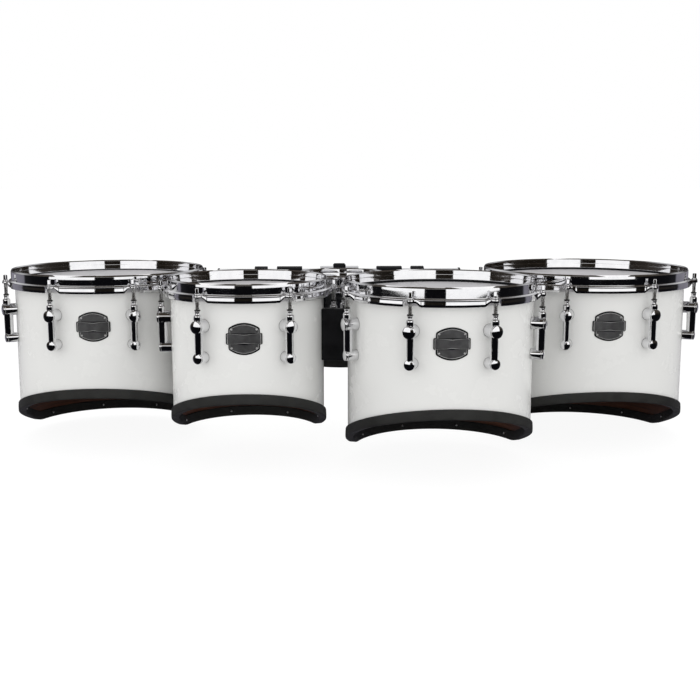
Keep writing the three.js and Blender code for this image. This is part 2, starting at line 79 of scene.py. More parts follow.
# A round takes at most this share of a side, and its brace points stand this far beyond its ends.
MOST_OF_SIDE = 0.46
BRACE = 0.25


def on_circle(radius, angle, height=0.0):
    """The point at an angle from the front of a circle."""
    return (radius * math.sin(angle), -radius * math.cos(angle), height)


def evenly(count, start=0.0):
    return [start + 2 * math.pi * i / count for i in range(count)]


def lug_angles(drum):
    return evenly(drum["lugs"], math.pi / drum["lugs"])


def smooth(t):
    """Eases from 0 to 1 as t does, and stays there outside."""
    t = min(max(t, 0.0), 1.0)
    return t * t * (3 - 2 * t)


def rounded(points, radii, steps=3, closed=True):
    """A polyline with its corners rounded. A corner with radius zero stays as it is.

    A point just outside each end of a round keeps the straight beside it flat in the shading.
    """
    out = []
    last = len(points) - 1
    for i, point in enumerate(points):
        if radii[i] == 0 or (not closed and i in (0, last)):
            out.append(tuple(point))
            continue
        corner = Vector(point)
        ends, braces = [], []
        for other in (points[i - 1], points[(i + 1) % len(points)]):
            side = Vector(other) - corner
            reach = min(radii[i], side.length * MOST_OF_SIDE)
            brace = reach + min(BRACE, side.length / 2 - reach)
            ends.append(corner + side.normalized() * reach)
            braces.append(corner + side.normalized() * brace)
        out.append(tuple(braces[0]))
        for k in range(steps + 1):
            t = k / steps
            out.append(tuple(ends[0] * (1 - t) ** 2 + corner * 2 * t * (1 - t) + ends[1] * t * t))
        out.append(tuple(braces[1]))
    return out


def grid(rows, wrap=True, close=True):
    """Quads between rows of points. wrap joins the last row to the first, close joins row ends."""
    count, size = len(rows), len(rows[0])
    faces = []
    for i in range(count if wrap else count - 1):
        j = (i + 1) % count
        for k in range(size if close else size - 1):
            m = (k + 1) % size
            faces.append((i * size + k, i * size + m, j * size + m, j * size + k))
    return [p for row in rows for p in row], faces


def swept(angles, section_at):
    """A closed ring whose section of [radius, height] points may change with the angle."""
    return grid([[on_circle(r, a, z) for r, z in section_at(a)] for a in angles])


def turned(profile, around):
    """A turned solid from an open profile that begins and ends on the axis."""
    rows = [[on_circle(r, a, z) for r, z in profile] for a in evenly(around)]
    return grid(rows, close=False)


def turned_round(corners, radii, steps=3, around=32):
    """A turned solid whose profile has rounded corners."""
    return turned(rounded(corners, radii, steps, closed=False), around)


def capped(rows):
    """A tube through rows of points, with a flat face over each end."""
    points, faces = grid(rows, wrap=False)
    size = len(rows[0])
    last = len(points) - size
    faces.append(tuple(range(size - 1, -1, -1)))
    faces.append(tuple(range(last, last + size)))
    return points, faces


def moved(part, matrix):
    points, faces = part
    return [tuple(matrix @ Vector(p)) for p in points], faces


def shift(x, y, z):
    return Matrix.Translation((x, y, z))


def spin(angle):
    return Matrix.Rotation(angle, 4, "Z")


# Turns that lay a shape's own axis to the front, to the back and along the set.
OUTWARD = Matrix.Rotation(math.pi / 2, 4, "X")
INWARD = Matrix.Rotation(-math.pi / 2, 4, "X")
ALONG_X = Matrix.Rotation(math.pi / 2, 4, "Y")


def build_mesh(name, parts, materials, sharp=40):
    """One mesh from parts, each a (points, faces) pair with a material number or one per face."""
    points, faces, slots = [], [], []
    for (some_points, some_faces), slot in parts:
        start = len(points)
        points += [tuple(c * MM for c in p) for p in some_points]
        faces += [tuple(start + i for i in face) for face in some_faces]
        slots += slot if isinstance(slot, list) else [slot] * len(some_faces)
    mesh = bpy.data.meshes.new(name)
    mesh.from_pydata(points, [], faces)
    mesh.polygons.foreach_set("material_index", slots)
    bm = bmesh.new()
    bm.from_mesh(mesh)
    bmesh.ops.remove_doubles(bm, verts=bm.verts, dist=1e-7)
    bmesh.ops.dissolve_degenerate(bm, edges=bm.edges, dist=1e-8)
    bmesh.ops.recalc_face_normals(bm, faces=bm.faces)
    bm.to_mesh(mesh)
    bm.free()
    mesh.polygons.foreach_set("use_smooth", [True] * len(mesh.polygons))
    mesh.set_sharp_from_angle(angle=math.radians(sharp))
    for material in materials:
        mesh.materials.append(material)
    return mesh


def add(name, mesh, body, slot, matrix, *nodes):
    """Places a mesh as a piece that rides on a body and stands for CAD nodes."""
    turn = matrix.to_3x3().to_4x4()
    if turn != Matrix.Identity(4):
        mesh = mesh.copy()
        mesh.transform(turn)
    piece = bpy.data.objects.new(name, mesh)
    bpy.context.scene.collection.objects.link(piece)
    piece.location = matrix.translation
    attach(piece, body)
    if nodes:
        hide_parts(*nodes)


def at_drum(drum, angle=0.0):
    """A drum's own axis at its rim, turned by an angle."""
    return Matrix.Translation(drum["place"]) @ spin(angle)


# Materials

class Nodes:
    """Short calls for building a material's node tree."""

    def __init__(self, name):
        self.material = bpy.data.materials.new(name)
        self.material.use_nodes = True
        self.tree = self.material.node_tree
        self.shader = self.tree.nodes["Principled BSDF"]
        self.coords = self.tree.nodes.new("ShaderNodeTexCoord").outputs["Object"]

    def node(self, kind, inputs=None, **settings):
        made = self.tree.nodes.new(kind)
        for key, value in settings.items():
            setattr(made, key, value)
        for key, value in (inputs or {}).items():
            self.put(made.inputs[key], value)
        return made

    def put(self, socket, value):
        if isinstance(value, bpy.types.NodeSocket):
            self.tree.links.new(value, socket)
        else:
            socket.default_value = value

    def stretched(self, scale):
        return self.node("ShaderNodeMapping", {"Vector": self.coords, "Scale": scale}).outputs["Vector"]

    def noise(self, scale, detail=4.0, rough=0.55, vector=None, distort=0.0):
        inputs = {"Vector": vector or self.coords, "Scale": scale, "Detail": detail,
                  "Roughness": rough, "Distortion": distort}
        return self.node("ShaderNodeTexNoise", inputs).outputs["Fac"]

    def ranged(self, value, low, high, start=0.3, end=0.7):
        inputs = {"Value": value, "From Min": start, "From Max": end, "To Min": low, "To Max": high}
        return self.node("ShaderNodeMapRange", inputs).outputs["Result"]

    def between(self, factor, first, second, start=0.3, end=0.7):
        """A mix of two colours, which go in at sockets 6 and 7 of the node and come out at 2."""
        mix = self.node("ShaderNodeMix", data_type="RGBA")
        self.put(mix.inputs["Factor"], self.ranged(factor, 0.0, 1.0, start, end))
        self.put(mix.inputs[6], first if isinstance(first, bpy.types.NodeSocket) else (*first, 1))
        self.put(mix.inputs[7], second if isinstance(second, bpy.types.NodeSocket) else (*second, 1))
        return mix.outputs[2]

    def bump(self, height, strength, distance, normal=None):
        inputs = {"Height": height, "Strength": strength, "Distance": distance}
        if normal:
            inputs["Normal"] = normal
        return self.node("ShaderNodeBump", inputs).outputs["Normal"]

    def finish(self, **sockets):
        for key, value in sockets.items():
            self.put(self.shader.inputs[key.replace("_", " ")], value)
        return self.material


def lacquer(name, light, dark, rough, coat):
    """Gloss lacquer with faint clouds, orange peel and dust."""
    n = Nodes(name)
    clouds = n.noise(7.0, 3.0)
    peel = n.noise(420.0, 2.0)
    dust = n.noise(1500.0, 1.0)
    colour = n.between(clouds, dark, light)
    bumped = n.bump(dust, 0.05, 0.0001, n.bump(peel, 0.05, 0.0002))
    return n.finish(Base_Color=colour, Roughness=n.ranged(n.noise(26.0), rough, rough + 0.05),
                    Normal=bumped, Coat_Weight=coat, Coat_Roughness=0.06, Specular_IOR_Level=0.22)


def stained_wood():
    """Grain that runs round the shell, with dark pores."""
    n = Nodes("stained_wood")
    grain = n.noise(1.0, 6.0, 0.6, n.stretched((14, 14, 420)), 0.4)
    pores = n.noise(1.0, 3.0, 0.7, n.stretched((60, 60, 1900)))
    colour = n.between(grain, (0.060, 0.021, 0.012), (0.150, 0.055, 0.028))
    return n.finish(Base_Color=n.between(pores, colour, (0.02, 0.008, 0.005), 0.62, 0.8),
                    Roughness=n.ranged(grain, 0.42, 0.62), Normal=n.bump(pores, 0.25, 0.0004))


def chrome_plate():
    """A mirror with faint smears."""
    n = Nodes("chrome_plate")
    smears = n.noise(60.0, 5.0, 0.6)
    pits = n.noise(900.0, 2.0)
    colour = n.between(smears, (0.78, 0.78, 0.80), (0.87, 0.87, 0.88))
    return n.finish(Base_Color=colour, Metallic=1.0, Roughness=n.ranged(smears, 0.025, 0.07),
                    Normal=n.bump(pits, 0.02, 0.0001))


def drum_film():
    """Frosted film with a mottle, fine tooth and faint long marks."""
    n = Nodes("drum_film")
    mottle = n.noise(16.0, 5.0, 0.6)
    tooth = n.noise(1400.0, 3.0, 0.7)
    marks = n.noise(1.0, 4.0, 0.5, n.stretched((55, 9, 9)), 1.2)
    base = n.between(mottle, (0.44, 0.43, 0.445), (0.52, 0.51, 0.525))
    colour = n.between(marks, base, (0.36, 0.35, 0.36), 0.58, 0.80)
    return n.finish(Base_Color=colour, Roughness=n.ranged(mottle, 0.42, 0.60),
                    Normal=n.bump(tooth, 0.22, 0.0002), Specular_IOR_Level=0.4)


def black_rubber():
    """Moulded rubber with a pale bloom."""
    n = Nodes("black_rubber")
    bloom = n.noise(34.0, 5.0, 0.65)
    skin = n.noise(650.0, 4.0, 0.75)
    colour = n.between(bloom, (0.014, 0.014, 0.013), (0.027, 0.027, 0.025))
    return n.finish(Base_Color=colour, Roughness=n.ranged(bloom, 0.52, 0.74),
                    Normal=n.bump(skin, 0.60, 0.0004), Specular_IOR_Level=0.4)


def grey_nylon():
    """The pale gaskets under the lugs."""
    n = Nodes("grey_nylon")
    tone = n.noise(240.0, 4.0, 0.6)
    colour = n.between(tone, (0.26, 0.26, 0.255), (0.34, 0.34, 0.33))
    return n.finish(Base_Color=colour, Roughness=n.ranged(tone, 0.42, 0.58),
                    Normal=n.bump(n.noise(1300.0, 2.0), 0.10, 0.0001), Specular_IOR_Level=0.3)


def powder_coat():
    """Fine-grained black coat, a little rubbed."""
    n = Nodes("powder_coat")
    cells = n.node("ShaderNodeTexVoronoi", {"Vector": n.coords, "Scale": 900.0}).outputs["Distance"]
    rub = n.noise(45.0, 5.0, 0.6)
    colour = n.between(rub, (0.004, 0.004, 0.005), (0.010, 0.010, 0.012))
    return n.finish(Base_Color=colour, Roughness=n.ranged(rub, 0.34, 0.50),
                    Normal=n.bump(cells, 0.18, 0.0003), Specular_IOR_Level=0.15)


def cast_pewter():
    """Dark cast metal, brushed from side to side."""
    n = Nodes("cast_pewter")
    tone = n.noise(90.0, 4.0, 0.6)
    grain = n.noise(1300.0, 3.0, 0.7)
    brushed = n.noise(1.0, 4.0, 0.6, n.stretched((140, 140, 2600)))
    colour = n.between(tone, (0.105, 0.105, 0.107), (0.165, 0.165, 0.168))
    bumped = n.bump(brushed, 0.12, 0.0002, n.bump(grain, 0.25, 0.0002))
    return n.finish(Base_Color=colour, Metallic=0.8, Normal=bumped,
                    Roughness=n.ranged(tone, 0.30, 0.46))


def zinc_steel():
    """Screws, bolts, washers and pins."""
    n = Nodes("zinc_steel")
    tone = n.noise(150.0, 4.0, 0.6)
    colour = n.between(tone, (0.70, 0.70, 0.69), (0.84, 0.84, 0.83))
    return n.finish(Base_Color=colour, Metallic=0.8, Roughness=n.ranged(tone, 0.30, 0.44),
                    Normal=n.bump(n.noise(1200.0, 2.0), 0.08, 0.0001))


def rod_steel():
    """The threaded part of the rods."""
    n = Nodes("rod_steel")
    tone = n.noise(220.0, 4.0, 0.6)
    colour = n.between(tone, (0.50, 0.50, 0.50), (0.66, 0.66, 0.65))
    return n.finish(Base_Color=colour, Metallic=1.0, Roughness=n.ranged(tone, 0.20, 0.34),
                    Normal=n.bump(n.noise(1500.0, 2.0), 0.08, 0.0001))


WHITE = lacquer("white_lacquer", (0.780, 0.780, 0.765), (0.770, 0.770, 0.754), 0.24, 0.14)
BLACK = lacquer("black_lacquer", (0.012, 0.013, 0.016), (0.007, 0.008, 0.010), 0.16, 0.45)
WOOD = stained_wood()
CHROME = chrome_plate()
FILM = drum_film()
RUBBER = black_rubber()
NYLON = grey_nylon()
COAT = powder_coat()
PEWTER = cast_pewter()
ZINC = zinc_steel()
STEEL = rod_steel()


# Shell, trim and head

# The shell's thickness, how far the rubber reaches below and above its edge, and the slant, which
# starts a little behind the middle with a soft bend.
WALL = 6.0
TRIM_UNDER = 3
TRIM_UP = 14
SLANT_START = 0.4
SLANT_EASE = 0.08


def edge_height(drum, angle):
    """Height of the shell's slanted lower edge, flat at the back and rising to the front."""
    slope = (SLANT_START + math.cos(angle)) / (1 + SLANT_START)
    if slope < 0:
        climb = 0
    elif slope < SLANT_EASE:
        climb = slope ** 2 / (2 * SLANT_EASE)
    else:
        climb = slope - SLANT_EASE / 2
    return -drum["depth"] + TRIM_UNDER + drum["rise"] * climb / (1 - SLANT_EASE / 2)


def seat_depth(drum):
    """How far below the rim the hoop presses on the head's ring."""
    return max(20.8, drum["film"] + 2.0)


def shell_section(drum, angle):
    outer = drum["radius"]
    inner = outer - WALL
    low = edge_height(drum, angle)
    film = drum["film"]
    corners = [
        (inner, low), (outer, low), (outer, -film - 3.1),
        (outer - 2.1, -film - 0.8), (inner, -film - 3.8),
    ]
    return rounded(corners, [0.4, 0.4, 1.6, 0.5, 0.4])


def shell_mesh(drum, outside):
    """Lacquer on the outer face, and stained wood inside and on the bearing edge."""
    part = swept(evenly(AROUND), lambda a: shell_section(drum, a))
    outer = drum["radius"] - 0.25
    points, faces = part
    slots = []
    for face in faces:
        radii = [math.hypot(points[i][0], points[i][1]) for i in face]
        slots.append(0 if min(radii) > outer else 1)
    return build_mesh(drum["name"] + "_shell_shape", [(part, slots)], [outside, WOOD])


def trim_section(drum, angle):
    outer = drum["radius"]
    inner = outer - WALL
    edge = edge_height(drum, angle)
    low, high = edge - TRIM_UNDER, edge + TRIM_UP
    corners = [
        (inner - 3, low), (outer + 4, low), (outer + 4.2, low + 8), (outer + 3.6, high),
        (outer + 0.05, high), (outer + 0.05, edge), (inner - 0.05, edge),
        (inner - 0.05, high), (inner - 2.2, high), (inner - 3, low + 6),
    ]
    return rounded(corners, [2.2, 2.6, 3.0, 1.3, 0, 0, 0, 0, 1.0, 2.0])


def trim_mesh(drum):
    part = swept(evenly(AROUND), lambda a: trim_section(drum, a))
    return build_mesh(drum["name"] + "_trim_shape", [(part, 0)], [RUBBER], sharp=50)


HEAD_FOOT = -29.4


def head_mesh(drum):
    """A film with a collar that folds over the bearing edge into a ring under the hoop."""
    radius, film = drum["radius"], drum["film"]
    top = -seat_depth(drum) - 0.3
    flat = radius - 7
    profile = [(flat * i / 14, -film) for i in range(15)]
    collar = [
        (flat, -film), (radius - 2, -film + 0.05), (radius + 1.7, -film - 0.4), (radius + 1.9, top),
    ]
    profile += rounded(collar, [0, 2.0, 1.2, 0], 5, closed=False)[1:]
    ring = [
        (radius + 1.95, top), (radius + 5.8, top), (radius + 5.8, HEAD_FOOT), (radius + 1.3, HEAD_FOOT),
    ]
    profile += rounded(ring, [0, 1.2, 1.2, 0], 4, closed=False)
    profile += [(radius + 1.2, -film - 1.6), (radius - 2, -film - 0.5), (0, -film - 0.5)]
    part = turned(profile, AROUND)
    return build_mesh(drum["name"] + "_head_shape", [(part, 0)], [FILM], sharp=50)


def trim_pin_mesh():
    """A domed pin head that holds the rubber to the shell, pointing to the front."""
    dome = [(0, -0.5), (2.0, -0.5), (2.0, 0.3), (1.7, 0.8), (1.1, 1.2), (0.5, 1.35), (0, 1.4)]
    head = turned(dome, 20)
    return build_mesh("trim_pin_shape", [(moved(head, OUTWARD), 0)], [ZINC])


# Counterhoop

# Distances out from the shell and heights from the rim, and how far to either side of its middle an
# ear begins to open and has its round nose.
ROD_OUT = 17
EAR_REACH = 15.5
EAR_NOSE = 6
FLANGE_OUT = 10.9
LEDGE = -18.6
FLANGE = -22.3
HOOP_FOOT = -30.8

# How many stations an ear has, how far before its middle the first one is, and their spacing.
EAR_STATIONS = 41
EAR_SPAN = 17
EAR_STEP = 0.85

# The inner ring of the hoop below this height and within this distance of the shell is painted black:
# painted shade for the shadowed gap between the hoop and the film.
PAINTED_SHADE_BELOW = -17.5
PAINTED_SHADE_WITHIN = 3.1


def hoop_angles(drum):
    """Close stations at each ear, wider ones between."""
    reach = drum["radius"] + ROD_OUT
    pitch = 2 * math.pi / drum["lugs"]
    angles = []
    for centre in lug_angles(drum):
        close = [(-EAR_SPAN + EAR_STEP * i) / reach for i in range(EAR_STATIONS)]
        start, end = close[-1], pitch + close[0]
        count = max(4, round((end - start) / math.radians(1.8)))
        wide = [start + (end - start) * i / count for i in range(1, count)]
        angles += [centre + t for t in close + wide]
    return angles


def ear_offset(drum, angle):
    """Distance along the rim from the middle of the nearest ear."""
    pitch = 2 * math.pi / drum["lugs"]
    turn = (angle - math.pi / drum["lugs"] + pitch / 2) % pitch - pitch / 2
    return abs(turn) * (drum["radius"] + ROD_OUT)


def hoop_section(drum, angle):
    """An upright wall, a ledge and a flange below it, which opens out into an ear at each rod."""
    radius = drum["radius"]
    off = ear_offset(drum, angle)
    flank = FLANGE_OUT + (ROD_OUT - FLANGE_OUT) * smooth((EAR_REACH - off) / 9.5)
    nose = ROD_OUT + math.sqrt(EAR_NOSE ** 2 - off * off) if off < EAR_NOSE else 0
    reach = radius + max(flank, nose)
    ear = smooth((EAR_REACH - off) / 8)
    seat = -seat_depth(drum)
    low = HOOP_FOOT + (seat - HOOP_FOOT - 0.6) * ear
    upper = FLANGE + 2.6 * ear
    knee = upper - 4.2 * (1 - ear) - 0.6
    foot, waist = drum["wall"]
    outside = [
        (radius + 3.0, seat), (radius + 8.3, seat), (radius + 8.7, low), (reach - 0.25, low),
        (reach, knee), (reach - 0.4, upper), (reach - 0.4, LEDGE), (radius + foot, LEDGE),
        (radius + waist, -7.0), (radius + 6.1, -2.9),
    ]
    edge = [(radius + 4.94, -0.3), (radius + 4.88, -0.05), (radius + 4.82, -0.05), (radius + 4.76, -0.3)]
    inside = [(radius + 4.0, -2.0), (radius + 3.4, -9.2), (radius + 3.28, -9.6), (radius + 2.45, -17.4)]
    radii = [0.6, 1.1, 0.6, 0.7, 0.7, 0.5, 1.5, 1.1, 0.9, 0.15, 0, 0, 0, 0, 0.15, 0.15, 0.15, 0.2]
    return rounded(outside + edge + inside, radii, 2)


def hoop_mesh(drum):
    """Chrome, with the lowest ring inside, against the film, in black coat as painted shade of the gap
    there.
    """
    part = swept(hoop_angles(drum), lambda a: hoop_section(drum, a))
    points, faces = part
    slots = []
    for face in faces:
        below = max(points[i][2] for i in face) < PAINTED_SHADE_BELOW
        widest = max(math.hypot(points[i][0], points[i][1]) for i in face)
        inward = widest < drum["radius"] + PAINTED_SHADE_WITHIN
        # Faces of that lowest inner ring take the black coat, which is painted shade.
        slots.append(1 if below and inward else 0)
    return build_mesh(drum["name"] + "_hoop_shape", [(part, slots)], [CHROME, COAT], sharp=60)


def thread(radius, low, high, pitch=0.9, depth=0.28):
    """The upright profile of a threaded stretch, as a row of grooves."""
    count = int((high - low) / pitch)
    rows = [(radius - depth, low)]
    for i in range(count):
        rows += [(radius, low + pitch * (i + 0.35)), (radius - depth, low + pitch * (i + 0.85))]
    return rows + [(radius, high)]


def rod_mesh():
    """A tension rod with its washers, on its own axis with the rim plane at height zero."""
    radius, washer_top = 3.2, -17.3
    shank = turned([(0, -56)] + thread(radius, -56, -29) + [(radius, -19), (0, -19)], 24)
    washer = turned_round([(0, -18.7), (5.5, -18.7), (5.5, washer_top), (0, washer_top)],
                          [0, 0.4, 0.4, 0], around=28)
    collar = turned_round([(0, washer_top), (4.4, washer_top), (4.2, -15.6), (2.6, -14.8), (0, -14.8)],
                          [0, 0.3, 0.6, 0.3, 0], around=28)
    half = 2.6
    square = rounded([(-half, -half), (half, -half), (half, half), (-half, half)], [0.7] * 4)
    rows = []
    for height, share in [(-15.2, 1), (-8.2, 1), (-7.4, 0.93), (-7.0, 0.72)]:
        rows.append([(x * share, y * share, height) for x, y in square])
    parts = [(shank, 1), (washer, 0), (collar, 0), (capped(rows), 0)]
    return build_mesh("rod_shape", parts, [CHROME, STEEL])


# Lugs

# Each post's radius, how far it stands out from the shell, and its depth below the rim.
TOP_POST = (10.3, 26.2, 68.2)
LOW_POST = (8.6, 23.0, 118.3)
LUG_SCREW_DEPTHS = (68.5, 119)
SUNK = 0.5


def post_profile(radius, reach):
    """A barrel post from its seat on the shell to its low crown, with one fine groove."""
    crown = radius * 0.19
    cap = reach - crown - 1.3
    groove = radius - 0.5
    profile = rounded([
        (0, -SUNK), (radius, -SUNK), (radius, cap - 2.6), (groove, cap - 2.3),
        (groove, cap - 1.9), (radius, cap - 1.6), (radius, cap),
    ], [0, 0.3, 0.2, 0.1, 0.1, 0.2, 0], 2, closed=False)
    shoulder = 1.4
    for i in range(1, 5):
        turn = math.radians(16 * i)
        profile.append((radius - shoulder * (1 - math.cos(turn)), cap + shoulder * math.sin(turn)))
    edge, height = profile[-1]
    for i in range(1, 9):
        share = 1 - i / 8
        profile.append((edge * share, height + (reach - height) * (1 - share * share)))
    return profile


def lug_mesh():
    """A lug for the front of a drum, with the shell's face at y = 0 and the rim at height zero."""
    parts = []
    for (radius, reach, depth), around in ((TOP_POST, 48), (LOW_POST, 44)):
        place = shift(0, 0, -depth) @ OUTWARD
        parts.append((moved(turned(post_profile(radius, reach), around), place), 0))
        edge = radius + 0.3
        gasket = turned([(0, -0.6), (edge, -0.6), (edge, 0.5), (radius - 0.2, 0.7), (0, 0.7)], 44)
        parts.append((moved(gasket, place), 2))
    across, deep, centre = 6.1, 7.9, -14.6
    rows = []
    for height, share in [(-118, 0.96), (-78, 1.0), (-70, 1.0)]:
        rows.append([(across * share * math.cos(a), centre + deep * share * math.sin(a), height)
                     for a in evenly(40)])
    parts.append((capped(rows), 0))
    body = turned_round([
        (0, -62), (5.8, -62), (5.8, -58.6), (6.4, -57.8), (6.4, -50.8), (5.2, -49.2), (3.9, -48.8),
        (3.7, -46.2), (4.3, -45.4), (4.3, -43.4), (3.4, -42.6), (0, -42.6),
    ], [0, 0.3, 0.4, 0.6, 1.4, 0.6, 0.4, 0.4, 0.4, 0.4, 0.3, 0])
    bush = turned_round([(0, -42.7), (4.9, -42.7), (4.9, -41.0), (3.2, -40.7), (0, -40.7)],
                        [0, 0.3, 0.4, 0.2, 0], around=28)
    out = shift(0, -ROD_OUT, 0)
    parts += [(moved(body, out), 0), (moved(bush, out), 1)]
    return build_mesh("lug_shape", parts, [CHROME, RUBBER, NYLON])


def lug_screws_mesh(drum):
    """Round screw heads on washers inside the shell, one behind each post."""
    inner = drum["radius"] - WALL
    washer = turned_round([(0, 0), (6.2, 0), (6.2, 1.2), (0, 1.2)], [0, 0.3, 0.3, 0], around=24)
    head = turned([(0, 1.1), (4.2, 1.1), (4.1, 2.2), (3.2, 3.3), (1.7, 3.8), (1.6, 3.2), (0, 3.2)], 24)
    parts = []
    for angle in lug_angles(drum):
        for depth in LUG_SCREW_DEPTHS:
            place = spin(angle) @ shift(0, -inner + 0.1, -depth) @ INWARD
            parts += [(moved(washer, place), 0), (moved(head, place), 0)]
    return build_mesh(drum["name"] + "_lug_screws_shape", parts, [ZINC])


# Badge

BADGE_DEPTH = 87
BADGE_THICK = 1.2
RIVET_ACROSS, RIVET_UP = 19.5, 14.8


def arched_outline(width, shoulder, crown, corner=3.0, steps=14):
    """Upright sides, with an arch of the given rise above and below them."""
    x, y = width / 2, shoulder / 2
    top = [(x - width * i / steps, y + crown * (1 - (1 - 2 * i / steps) ** 2)) for i in range(steps + 1)]
    bottom = [(-px, -py) for px, py in top]
    radii = ([corner] + [0] * (steps - 1) + [corner]) * 2
    return rounded(top + bottom, radii, 4)


def denser(outline, gap=1.2):
    """The same outline with more points along its long sides, so that it can bend."""
    out = []
    for i, point in enumerate(outline):
        here, there = Vector(point), Vector(outline[(i + 1) % len(outline)])
        count = max(1, round((there - here).length / gap))
        out += [tuple(here.lerp(there, k / count)) for k in range(count)]
    return out


def curved_plate(outline, levels, radius):
    """Loops of an outline drawn in towards its middle, each at its own height on the shell."""
    rows = []
    for share, inset, height in levels:
        row = []
        for x, y in outline:
            size = math.hypot(x, y)
            factor = share * (1 - inset / size)
            row.append(on_circle(radius + height, x * factor / radius, y * factor))
        rows.append(row)
    return grid(rows, wrap=False)


def badge_layer(outline, radius, lift, rim):
    """A plate with a sloping edge in black coat as painted shade, a raised line inside it and a sunken
    field.
    """
    face, line = lift + BADGE_THICK, lift + BADGE_THICK + 0.6
    levels = [(1, 0, -0.3), (1, 0, lift + 0.7), (1, rim, lift + 1.3), (1, rim + 0.5, line),
              (1, rim + 1.2, line), (1, rim + 1.7, face), (1, rim + 2.2, face)]
    levels += [(share, rim + 2.2, face) for share in (0.85, 0.7, 0.55, 0.4, 0.25, 0.1, 0.001)]
    part = curved_plate(outline, levels, radius)
    # The first two bands, the plate's side and its slope, take the black coat: painted shade on the
    # edge.
    band_slots = [2, 2, 0, 1] + [0] * (len(levels) - 5)
    return part, [slot for slot in band_slots for _ in outline]


def badge_mesh(drum):
    """A bare arched plate with a raised band across it and a rivet in each corner."""
    radius = drum["radius"]
    body = denser(arched_outline(49.5, 34, 8.5))
    band_x, band_y = 28.5, 9
    corners = [(band_x, band_y), (-band_x, band_y), (-band_x, -band_y), (band_x, -band_y)]
    band = denser(rounded(corners, [2.5] * 4, 4))
    parts = [badge_layer(body, radius, 0.0, 2.3), badge_layer(band, radius, 0.9, 1.8)]
    rivet = turned([(0, 0), (1.7, 0), (1.6, 0.6), (1.1, 1.1), (0.5, 1.3), (0, 1.35)], 20)
    for x in (-RIVET_ACROSS, RIVET_ACROSS):
        for y in (-RIVET_UP, RIVET_UP):
            place = spin(x / radius) @ shift(0, -radius - 1.3, y) @ OUTWARD
            parts.append((moved(rivet, place), 1))
    placed = [(moved(part, shift(0, 0, -BADGE_DEPTH)), slot) for part, slot in parts]
    return build_mesh(drum["name"] + "_badge_shape", placed, [PEWTER, ZINC, COAT])


# Fasteners, spacers, arms, bracket and rail

def hex_head(radius, low, high):
    """A six-sided bolt head with a small bevel on top."""
    rows = []
    for height, share in [(low, 1), (high - 0.7, 1), (high, 0.88)]:
        rows.append([on_circle(radius * share, a, height) for a in evenly(6)])
    return capped(rows)


def inner_bolts(drum, angle, depths, outward_length, across=0.0):
    """Bolts through a shell: hex head and washer inside, shank out to a length past the face."""
    inner = drum["radius"] - WALL
    washer = turned_round([(0, -1.2), (7.2, -1.2), (7.2, 0.4), (0, 0.4)], [0, 0.3, 0.3, 0], around=24)
    length = WALL + outward_length
    shank = turned([(0, 0), (3, 0), (3, length), (0, length)], 20)
    head = hex_head(5.6, -5.4, -1.1)
    parts = []
    reach = math.sqrt(inner * inner - across * across)
    for depth in depths:
        place = spin(angle) @ shift(across, -reach, -depth) @ OUTWARD
        parts += [(moved(shape, place), 1) for shape in (washer, shank, head)]
    return parts


def block_between(start_at, end_at, half_width, half_height, steps=12):
    """A block whose outline runs from one curved face to another, with rounded long edges."""
    rows = []
    for i in range(steps + 1):
        t = i / steps
        x, z = half_width(t), half_height
        outline = rounded([(-x, -z), (x, -z), (x, z), (-x, z)], [2.5] * 4, 4)
        rows.append([(x, -(start_at(x) * (1 - t) + end_at(x) * t), z) for x, z in outline])
    return capped(rows)


def face_of(drum):
    """How far the shell's face lies from the drum's axis, by the distance across it."""
    return lambda x: math.sqrt(drum["radius"] ** 2 - x * x)


# A spacer's half width and height, how much it narrows at its waist, the depth of its middle below
# the rim, its bolts' distance above and below that, and how far it stands before the drums' line.
OUTER_SPACER = {"half_width": 13.5, "waist": 2.6, "half_height": 36, "depth": 150,
                "bolts": 20, "forward": 0}
MIDDLE_SPACER = {"half_width": 10, "waist": 1.4, "half_height": 43, "depth": 95,
                 "bolts": 25, "forward": 8}


def add_spacer(name, first, second, spacer):
    """A block bolted between two drums, whose ends follow their shells."""
    along = second["place"] - first["place"]
    distance = along.length / MM
    angle = math.atan2(along.x, -along.y)
    forward, depth = spacer["forward"], spacer["depth"]
    first_face, second_face = face_of(first), face_of(second)
    block = block_between(lambda x: first_face(x - forward),
                          lambda x: distance - second_face(x - forward),
                          lambda t: spacer["half_width"] - spacer["waist"] * math.sin(math.pi * t),
                          spacer["half_height"])
    parts = [(moved(block, spin(angle) @ shift(-forward, 0, -depth)), 0)]
    depths = (depth - spacer["bolts"], depth + spacer["bolts"])
    parts += inner_bolts(first, angle, depths, outward_length=30, across=-forward)
    nuts = inner_bolts(second, angle + math.pi, depths, outward_length=2, across=forward)
    back = spin(angle) @ shift(0, -distance, 0) @ spin(-angle)
    parts += [(moved(part, back), slot) for part, slot in nuts]
    mesh = build_mesh(name + "_shape", parts, [COAT, ZINC])
    add(name, mesh, "set_frame", "black_coat", at_drum(first), name)


def path_plate(path, half_across, half_thick):
    """A flat bar that follows a path of (y, z) points in an upright plane."""
    x, s = half_thick, half_across
    outline = rounded([(-x, -s), (x, -s), (x, s), (-x, s)], [1.6] * 4)
    rows = []
    for i, point in enumerate(path):
        here = Vector(point)
        ahead = Vector(path[min(i + 1, len(path) - 1)]) - Vector(path[max(i - 1, 0)])
        side = Vector((-ahead.y, ahead.x)).normalized()
        rows.append([(x, *(here + side * s)) for x, s in outline])
    return capped(rows)


def bent(points, radius, steps=10):
    """A path with each of its inner corners rounded."""
    return rounded(points, [0] + [radius] * (len(points) - 2) + [0], steps, closed=False)


